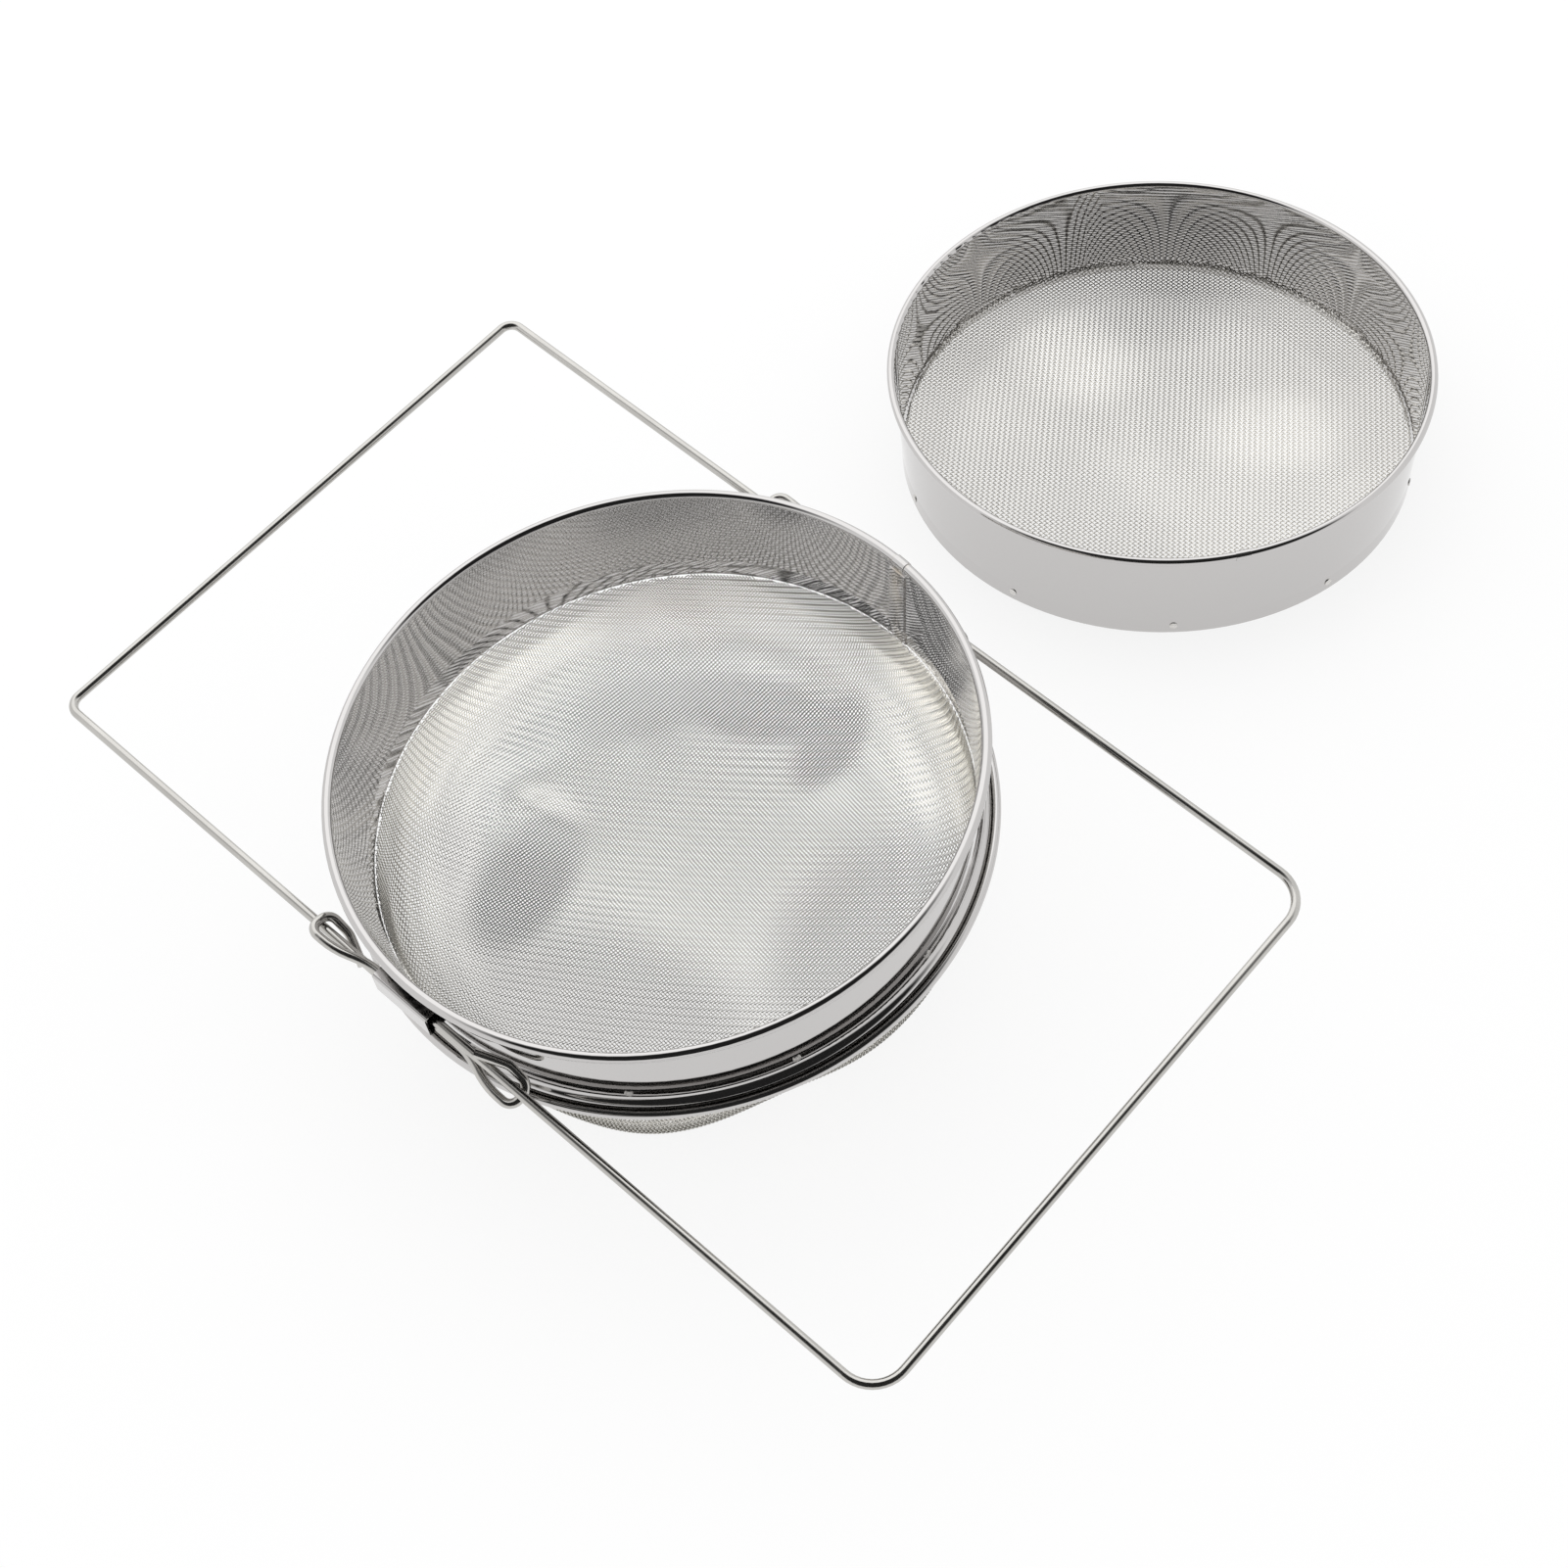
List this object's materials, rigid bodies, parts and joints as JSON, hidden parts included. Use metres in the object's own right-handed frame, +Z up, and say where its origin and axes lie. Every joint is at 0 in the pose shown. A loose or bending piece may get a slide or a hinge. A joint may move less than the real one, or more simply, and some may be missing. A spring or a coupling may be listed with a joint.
{
  "type": "double sieve strainer",
  "caption": "Round steel strainer for honey: a fine domed sieve carried on two sliding wire frames, and a flat coarse sieve that nests in its mouth.",
  "frame": {"origin": "middle of the footprint, on the table that both sieves stand on", "axes": "+Z up; +X along the rods, towards the right frame's end bar; +Y from the fine sieve towards the coarse sieve beside it"},
  "size_m": [0.409, 0.5678, 0.1238],
  "materials": {
    "polished_sheet": "polished stainless sheet",
    "rim_wire": "drawn wire, hidden in the rolled edges",
    "clip_sheet": "polished thin sheet",
    "fine_weave": "twill-woven fine stainless wire",
    "coarse_weave": "plain-woven coarse stainless wire",
    "spot_weld": "dull spot welds",
    "sleeve_sheet": "polished bent sheet",
    "frame_wire": "bright drawn wire"
  },
  "bodies": {
    "fine_sieve": {"fine_band": "polished_sheet", "fine_rim_wire": "rim_wire", "fine_rim_clip": "clip_sheet", "fine_mesh_bowl": "fine_weave", "fine_bottom_hoop": "polished_sheet", "fine_hoop_wire": "rim_wire", "fine_weld_spots": "spot_weld", "near_guide_sleeve": "sleeve_sheet", "far_guide_sleeve": "sleeve_sheet"},
    "left_handle": {"left_handle_frame": "frame_wire"},
    "right_handle": {"right_handle_frame": "frame_wire"},
    "coarse_sieve": {"coarse_band": "polished_sheet", "coarse_rim_wire": "rim_wire", "coarse_rim_clip": "clip_sheet", "coarse_mesh_disc": "coarse_weave", "coarse_weld_spots": "spot_weld"}
  },
  "joints": [
    {"name": "left_handle_slide", "type": "slide", "parent": "fine_sieve", "child": "left_handle", "axis": [0.9928, 0.0133, -0.1194], "range_m": [-0.005, 0.055]},
    {"name": "right_handle_slide", "type": "slide", "parent": "fine_sieve", "child": "right_handle", "axis": [-0.9928, -0.0133, 0.1194], "range_m": [-0.001, 0.055]},
    {"name": "coarse_sieve_lift", "type": "slide", "parent": "fine_sieve", "child": "coarse_sieve", "axis": [0, 0, 1], "range_m": [0, 0.15]}
  ]
}
